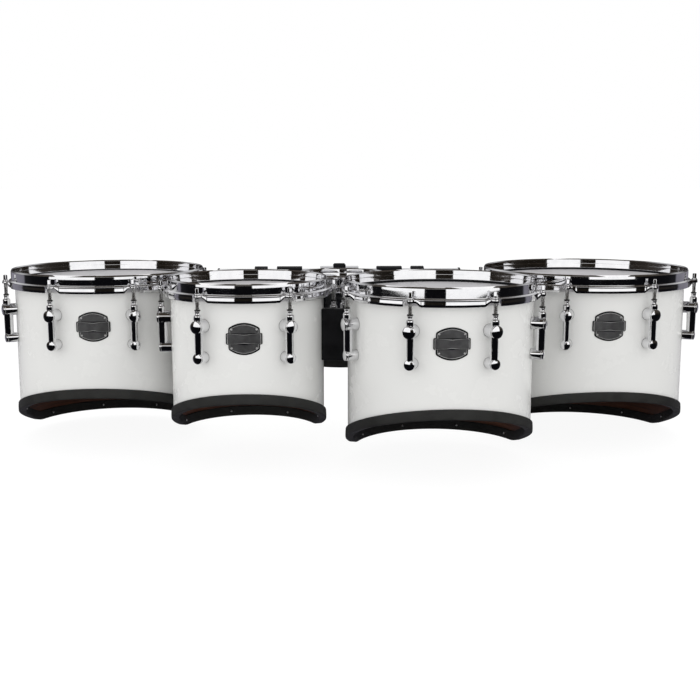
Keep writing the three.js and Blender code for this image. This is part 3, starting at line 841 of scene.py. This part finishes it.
def sleeve(inner, outer, length, edge=1.0, around=48):
    """A ring along X with rounded rims."""
    half = length / 2
    corners = [(inner, -half), (outer, -half), (outer, half), (inner, half)]
    section = rounded(corners, [0.4, edge, edge, 0.4], 3)
    return moved(swept(evenly(around), lambda a: section), ALONG_X)


rail_low, rail_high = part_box("carrier_rail")
RAIL = (rail_low + rail_high) / 2

# The rail's tube, the barrels that close round it, and the clamp screws at their backs.
RAIL_LENGTH = 470
RAIL_RADIUS = 12.7
BARREL_HOLE = 12.9
BARREL_RADIUS = 17.5
SCREW_OUT = 17
COLLAR_AT = 152
PLUG_AT = 225.6


def clamp_screw(x, rail_y=0.0, rail_z=0.0):
    """A round screw with a hollow in its head, at the back of a barrel on the rail."""
    screw = turned_round([(0, -6), (4.2, -6), (4.2, 3.2), (2.4, 3.2), (2.2, 0.8), (0, 0.8)],
                         [0, 0.2, 0.6, 0.2, 0.2, 0], around=24)
    return moved(screw, shift(x, rail_y + SCREW_OUT, rail_z) @ INWARD)


def hanger_foot(drum, angle, half_width, half_height, reach, depth):
    """A block on a shell, with a flat outer face."""
    block = block_between(face_of(drum), lambda x: drum["radius"] + reach,
                          lambda t: half_width - 1.5 * t, half_height, 4)
    return moved(block, spin(angle) @ shift(0, 0, -depth))


def bolt_depths(depth):
    """A foot has one bolt above its middle and one below."""
    return depth - 12, depth + 12


# Distance of the arms from the middle of the rail, and the depth of their feet below the rim.
ARM_SPREAD = 97
ARM_DEPTH = 156


def add_arm(name, drum, side):
    """From a barrel on the rail down behind the drums, forward below the lugs, onto a shell."""
    middle = (RAIL.x - drum["place"].x) / MM + side * ARM_SPREAD
    rail_y = (RAIL.y - drum["place"].y) / MM
    rail_z = (RAIL.z - RIM) / MM
    angle = math.pi - math.asin(middle / drum["radius"])
    front = -(drum["radius"] + 12) * math.cos(angle)
    path = bent([(front, -ARM_DEPTH), (rail_y, -ARM_DEPTH), (rail_y, rail_z)], 31)
    plate = moved(path_plate(path, half_across=11, half_thick=4), shift(middle, 0, 0))
    barrel = sleeve(BARREL_HOLE, BARREL_RADIUS, length=49)
    foot = hanger_foot(drum, angle, half_width=19, half_height=22, reach=24, depth=ARM_DEPTH)
    parts = [(plate, 0), (moved(barrel, shift(middle, rail_y, rail_z)), 0), (foot, 0)]
    parts += inner_bolts(drum, angle, bolt_depths(ARM_DEPTH), outward_length=14)
    parts += [(clamp_screw(middle + offset, rail_y, rail_z), 1) for offset in (-15, 15)]
    mesh = build_mesh(name + "_shape", parts, [COAT, ZINC])
    add(name, mesh, "set_frame", "black_coat", at_drum(drum), name)


def web_plate(radius, rail_y, rail_z):
    """An upright plate with bevelled faces, from the shot drum's foot up to the rail."""
    top, foot = -48, -94
    back, front = rail_y + RAIL_RADIUS, rail_y - RAIL_RADIUS
    outline = rounded([
        (radius + 2, foot), (radius + 14, foot), (back, rail_z - RAIL_RADIUS), (back, rail_z),
        (front, rail_z), (front, top), (radius + 2, top),
    ], [0, 3, 6, 0, 0, 6, 0], 5)
    centre = Vector((radius + 20, -60))
    rows = []
    for x, share in [(-5, 0.96), (-4.2, 1), (4.2, 1), (5, 0.96)]:
        rows.append([(x, *(centre + (Vector(p) - centre) * share)) for p in outline])
    return capped(rows)


def clamp_cap():
    """The block on top of the middle clamp, with sloping shoulders and bevelled ends."""
    cap = rounded([(-12, 10), (12, 10), (12, 20.4), (9.6, 22.6), (-9.6, 22.6), (-12, 20.4)],
                  [0.5, 0.5, 0.8, 0.8, 0.8, 0.8])
    centre = 16
    rows = []
    for y, share in [(-9, 0.95), (-8.4, 1), (8.4, 1), (9, 0.95)]:
        rows.append([(x * share, y, z * share + centre * (1 - share)) for x, z in cap])
    return capped(rows)


def add_shot_bracket():
    """From a bright sleeve with a cap at the middle of the rail down to the shot drum's back."""
    drum = DRUMS["drum6"]
    depth = 71
    rail_y = (RAIL.y - drum["place"].y) / MM
    rail_z = (RAIL.z - drum["place"].z) / MM
    on_rail = shift(0, rail_y, rail_z)
    parts = [
        (web_plate(drum["radius"], rail_y, rail_z), 0),
        (moved(sleeve(BARREL_HOLE, 17.8, length=74), on_rail), 2),
        (moved(clamp_cap(), on_rail), 0),
        (hanger_foot(drum, math.pi, half_width=15, half_height=23, reach=14, depth=depth), 0),
        (clamp_screw(0, rail_y, rail_z), 1),
    ]
    parts += inner_bolts(drum, math.pi, bolt_depths(depth), outward_length=8)
    mesh = build_mesh("shot_drum_bracket_shape", parts, [COAT, ZINC, CHROME])
    add("shot_drum_bracket", mesh, "set_frame", "black_coat", at_drum(drum), "shot_drum_bracket")


def add_carrier_rail():
    """A chrome tube with a black stop collar, a clamp screw and an end plug on either side."""
    parts = [(sleeve(11.2, RAIL_RADIUS, RAIL_LENGTH, edge=0.4, around=64), 0)]
    plug = turned_round([(0, 0), (11, 0), (11, 7), (14, 7), (14, 10.5), (10, 11.4), (0, 11.4)],
                        [0, 0.4, 0.2, 0.3, 1.4, 2, 0], around=48)
    collar = sleeve(12.75, BARREL_RADIUS, length=25)
    for side in (-1, 1):
        parts.append((moved(collar, shift(side * COLLAR_AT, 0, 0)), 1))
        flip = Matrix.Rotation(side * math.pi / 2, 4, "Y")
        parts.append((moved(plug, shift(side * PLUG_AT, 0, 0) @ flip), 2))
        parts.append((clamp_screw(side * COLLAR_AT), 3))
    mesh = build_mesh("carrier_rail_shape", parts, [CHROME, COAT, RUBBER, ZINC])
    add("carrier_rail", mesh, "set_frame", "chrome", Matrix.Translation(RAIL), "carrier_rail")


# Putting the set together

# How far the trim pins are sunk in the rubber, and their height above the shell's edge.
PIN_SUNK = 0.3
PIN_UP = 6


def add_trim_pins(drum, mesh):
    """Pins round the inner face of the rubber, pointing at the drum's axis."""
    radius = drum["radius"] - WALL - 3
    count, first = drum["pins"]
    for i, angle in enumerate(evenly(count, math.radians(first))):
        height = edge_height(drum, angle) + PIN_UP
        place = spin(angle) @ shift(0, -radius + PIN_SUNK, height) @ spin(math.pi)
        pin = f"{drum['name']}_trim_pin_{i + 1}"
        add(pin, mesh, "set_frame", "chrome", at_drum(drum) @ scaled(place))


def scaled(matrix):
    """The same placement with its shift in metres."""
    out = matrix.copy()
    out.translation = matrix.translation * MM
    return out


LUG = lug_mesh()
ROD = rod_mesh()
TRIM_PIN = trim_pin_mesh()


def add_drum(drum):
    """One drum's pieces. The shot drum's trim and lugs stand for its shell, and it has no badge."""
    name = drum["name"]
    big = name in BIG
    place = at_drum(drum)
    moving = name + "_hoop_and_head"
    lacquered = shell_mesh(drum, WHITE if big else BLACK)
    shell_slot = "white_lacquer" if big else "black_lacquer"
    add(name + "_shell", lacquered, "set_frame", shell_slot, place, name + "_shell")
    trim_node = name + "_trim" if big else name + "_shell"
    add(name + "_trim", trim_mesh(drum), "set_frame", "rubber_trim", place, trim_node)
    add(name + "_head", head_mesh(drum), moving, "head_film", place, name + "_head")
    add(name + "_hoop", hoop_mesh(drum), moving, "chrome", place, name + "_hoop_and_rods")
    add(name + "_lug_screws", lug_screws_mesh(drum), "set_frame", "chrome", place)
    add_trim_pins(drum, TRIM_PIN)
    to_face = shift(0, -drum["radius"] * MM, 0)
    to_rods = shift(0, -(drum["radius"] + ROD_OUT) * MM, 0)
    for i, angle in enumerate(lug_angles(drum)):
        node = f"{name}_lug_{i + 1}" if big else name + "_shell"
        facing = at_drum(drum, angle)
        add(f"{name}_lug_{i + 1}", LUG, "set_frame", "chrome", facing @ to_face, node)
        # Each square head was left at a turn of its own.
        turn = spin(0.6 + 1.3 * i + drum["radius"])
        rod = f"{name}_rod_{i + 1}"
        add(rod, ROD, moving, "chrome", facing @ to_rods @ turn, name + "_hoop_and_rods")
    if big:
        add(name + "_badge", badge_mesh(drum), "set_frame", "badge_pewter", place, name + "_badge")


for drum in DRUMS.values():
    add_drum(drum)
add_spacer("spacer_13_10", DRUMS["drum13"], DRUMS["drum10"], OUTER_SPACER)
add_spacer("spacer_10_12", DRUMS["drum10"], DRUMS["drum12"], MIDDLE_SPACER)
add_spacer("spacer_12_14", DRUMS["drum12"], DRUMS["drum14"], OUTER_SPACER)
add_arm("left_rail_arm", DRUMS["drum10"], -1)
add_arm("right_rail_arm", DRUMS["drum12"], 1)
add_shot_bracket()
add_carrier_rail()


# Stage, light and camera

def shades_by(tree, direction, steps):
    """A colour by one part of a direction, which runs from -1 to 1."""
    half = tree.nodes.new("ShaderNodeMath")
    half.operation = "MULTIPLY_ADD"
    half.inputs[1].default_value = 0.5
    half.inputs[2].default_value = 0.5
    tree.links.new(direction, half.inputs[0])
    shades = tree.nodes.new("ShaderNodeValToRGB")
    ramp = shades.color_ramp
    for element, (place, colour) in zip(ramp.elements, (steps[0], steps[-1])):
        element.position = (place + 1) / 2
        element.color = (*colour, 1)
    for place, colour in steps[1:-1]:
        ramp.elements.new((place + 1) / 2).color = (*colour, 1)
    tree.links.new(half.outputs[0], shades.inputs[0])
    return shades.outputs[0]


# The floor's half width in metres, its own glow to the camera, and how much light it adds to that.
FLOOR_SPAN = 30
FLOOR_GLOW = 0.93
FLOOR_ADDS = (0.11, 0.11, 0.11, 1)


def floor():
    """Near white to the camera with a faint shadow, a pale ground to light, and clear to metal."""
    n = Nodes("pale_floor")
    tree = n.tree
    path = n.node("ShaderNodeLightPath")
    mottle = n.noise(3.0, 3.0)
    n.finish(Base_Color=n.between(mottle, (0.80, 0.80, 0.80), (0.84, 0.84, 0.84)), Roughness=0.8,
             Specular_IOR_Level=0.0)
    seen = n.node("ShaderNodeEmission", {"Color": (1, 1, 1, 1), "Strength": FLOOR_GLOW})
    dim = n.node("ShaderNodeBsdfDiffuse", {"Color": FLOOR_ADDS})
    both = n.node("ShaderNodeAddShader")
    tree.links.new(seen.outputs[0], both.inputs[0])
    tree.links.new(dim.outputs[0], both.inputs[1])
    clear = n.node("ShaderNodeBsdfTransparent")
    by_gloss = n.node("ShaderNodeMixShader", {"Fac": path.outputs["Is Glossy Ray"]})
    tree.links.new(n.shader.outputs[0], by_gloss.inputs[1])
    tree.links.new(clear.outputs[0], by_gloss.inputs[2])
    by_camera = n.node("ShaderNodeMixShader", {"Fac": path.outputs["Is Camera Ray"]})
    tree.links.new(by_gloss.outputs[0], by_camera.inputs[1])
    tree.links.new(both.outputs[0], by_camera.inputs[2])
    tree.links.new(by_camera.outputs[0], tree.nodes["Material Output"].inputs["Surface"])
    mesh = bpy.data.meshes.new("floor_shape")
    s = FLOOR_SPAN
    mesh.from_pydata([(-s, -s, 0), (s, -s, 0), (s, s, 0), (-s, s, 0)], [], [(0, 1, 2, 3)])
    mesh.materials.append(n.material)
    plane = bpy.data.objects.new("floor", mesh)
    plane.location.z = -0.0005
    bpy.context.scene.collection.objects.link(plane)


# What metal shows by the direction away from the camera, on the ground, low and high in the air.
GROUND_IN_METAL = [
    (-0.5, (0.003, 0.003, 0.004)), (0.0, (0.006, 0.006, 0.007)), (0.24, (0.014, 0.014, 0.016)),
    (0.30, (0.19, 0.185, 0.215)), (0.84, (0.25, 0.24, 0.28)), (0.92, (0.035, 0.033, 0.036)),
    (1.0, (0.020, 0.019, 0.020)),
]
LOW_AIR_IN_METAL = [
    (-0.5, (0.010, 0.008, 0.006)), (0.2, (0.035, 0.030, 0.026)), (1.0, (0.10, 0.095, 0.10)),
]
HIGH_AIR_IN_METAL = [
    (-0.6, (0.045, 0.036, 0.028)), (0.1, (0.070, 0.062, 0.055)), (0.45, (0.55, 0.55, 0.56)),
    (1.0, (0.85, 0.85, 0.86)),
]

# Each layer of air takes over between two heights of a direction.
AIR_LAYERS = [(LOW_AIR_IN_METAL, -0.03, 0.02), (HIGH_AIR_IN_METAL, 0.10, 0.26)]

# Strength of the even world that lights everything but metal.
PLAIN_LEVEL = 1.05


def surroundings():
    """White to the camera, plain light on the object, and a studio's light and dark in metal."""
    world = bpy.data.worlds.new("studio")
    bpy.context.scene.world = world
    world.use_nodes = True
    tree = world.node_tree
    nodes, links = tree.nodes, tree.links
    nodes.clear()
    out = nodes.new("ShaderNodeOutputWorld")
    path = nodes.new("ShaderNodeLightPath")
    coords = nodes.new("ShaderNodeTexCoord")
    parts = nodes.new("ShaderNodeSeparateXYZ")
    links.new(coords.outputs["Generated"], parts.inputs[0])
    plain = nodes.new("ShaderNodeBackground")
    plain.inputs[0].default_value = (1, 1, 1, 1)
    plain.inputs[1].default_value = PLAIN_LEVEL
    mirrored = nodes.new("ShaderNodeBackground")
    shades = shades_by(tree, parts.outputs["Y"], GROUND_IN_METAL)
    for steps, low, high in AIR_LAYERS:
        height = nodes.new("ShaderNodeMapRange")
        links.new(parts.outputs["Z"], height.inputs["Value"])
        height.inputs["From Min"].default_value = low
        height.inputs["From Max"].default_value = high
        joined = nodes.new("ShaderNodeMix")
        joined.data_type = "RGBA"
        links.new(height.outputs[0], joined.inputs[0])
        links.new(shades, joined.inputs[6])
        links.new(shades_by(tree, parts.outputs["Y"], steps), joined.inputs[7])
        shades = joined.outputs[2]
    links.new(shades, mirrored.inputs[0])
    white = nodes.new("ShaderNodeBackground")
    white.inputs[0].default_value = (1, 1, 1, 1)
    gloss = nodes.new("ShaderNodeMixShader")
    links.new(path.outputs["Is Glossy Ray"], gloss.inputs[0])
    links.new(plain.outputs[0], gloss.inputs[1])
    links.new(mirrored.outputs[0], gloss.inputs[2])
    seen = nodes.new("ShaderNodeMixShader")
    links.new(path.outputs["Is Camera Ray"], seen.inputs[0])
    links.new(gloss.outputs[0], seen.inputs[1])
    links.new(white.outputs[0], seen.inputs[2])
    links.new(seen.outputs[0], out.inputs["Surface"])


# The two softboxes that the photo's chrome shows, from their near to their far floor points.
LEFT_NEAR, LEFT_FAR = (-0.64, -1.9), (-1.47, -0.55)
RIGHT_NEAR, RIGHT_FAR = (0.10, -1.9), (0.92, -0.62)
PANEL_LOW, PANEL_HIGH = 0.17, 1.12
BEHIND = 0.12


def softbox(name, start, end, low, high, radiance, mirrored, rise=0.0):
    """An upright panel between two floor points, which metal shows or which lights all else.

    Its edges rise by the given height from start to end. One that lights stands behind the panel
    that metal shows.
    """
    start, end = Vector(start), Vector(end)
    width, height = (end - start).length, high - low
    data = bpy.data.lights.new(name, "AREA")
    data.shape = "RECTANGLE"
    data.size, data.size_y = width, height
    # A lamp of this power shows the radiance all over its face.
    data.energy = radiance * math.pi * width * height
    lamp = bpy.data.objects.new(name, data)
    bpy.context.scene.collection.objects.link(lamp)
    middle = (start + end) / 2
    along = (end - start).normalized()
    facing = Vector((-along.y, along.x, 0))
    if facing.dot(middle.to_3d()) > 0:
        facing = -facing
    if not mirrored:
        middle -= facing.to_2d() * BEHIND
    lamp.location = (middle.x, middle.y, (low + high + rise) / 2)
    lamp.rotation_mode = "QUATERNION"
    turn = facing.to_track_quat("-Z", "Y")
    tilt = math.atan2(rise, width) * (1 if (turn @ Vector((1, 0, 0))).dot(along.to_3d()) > 0 else -1)
    lamp.rotation_quaternion = turn @ Quaternion((0, 0, 1), tilt)
    lamp.visible_camera = False
    lamp.visible_diffuse = not mirrored
    lamp.visible_glossy = mirrored


# The photo's camera, as fitted to the rims: its place beside, before and above the rims' plane in
# metres, its tilt down and turn to the right in degrees, and its lens on a 36 mm sensor.
CAMERA_PLACE = (-0.0873, -1.901, RIM + 0.170)
CAMERA_TILT = 9.23
CAMERA_TURN = 2.454
LENS = 56.11


def camera():
    data = bpy.data.cameras.new("photo_camera")
    data.lens = LENS
    data.sensor_width = 36
    data.clip_start = 0.01
    data.clip_end = 100
    eye = bpy.data.objects.new("photo_camera", data)
    bpy.context.scene.collection.objects.link(eye)
    eye.location = CAMERA_PLACE
    eye.rotation_euler = (math.radians(90 - CAMERA_TILT), 0, math.radians(-CAMERA_TURN))
    bpy.context.scene.camera = eye


floor()
surroundings()
softbox("left_softbox", LEFT_NEAR, LEFT_FAR, PANEL_LOW, PANEL_HIGH, 1.10, mirrored=True, rise=0.06)
softbox("right_softbox", RIGHT_NEAR, RIGHT_FAR, PANEL_LOW, PANEL_HIGH, 1.10, mirrored=True, rise=0.09)
softbox("middle_softbox", LEFT_NEAR, RIGHT_NEAR, 0.72, 1.50, 0.60, mirrored=True)
softbox("left_fill", LEFT_NEAR, LEFT_FAR, PANEL_LOW, PANEL_HIGH, 0.38, mirrored=False)
softbox("right_fill", RIGHT_NEAR, RIGHT_FAR, PANEL_LOW, PANEL_HIGH, 0.38, mirrored=False)
softbox("left_side_fill", (-1.8, -0.9), (-1.8, 0.9), 0.02, 1.2, 0.15, mirrored=False)
camera()
bpy.context.scene.view_settings.view_transform = "Standard"
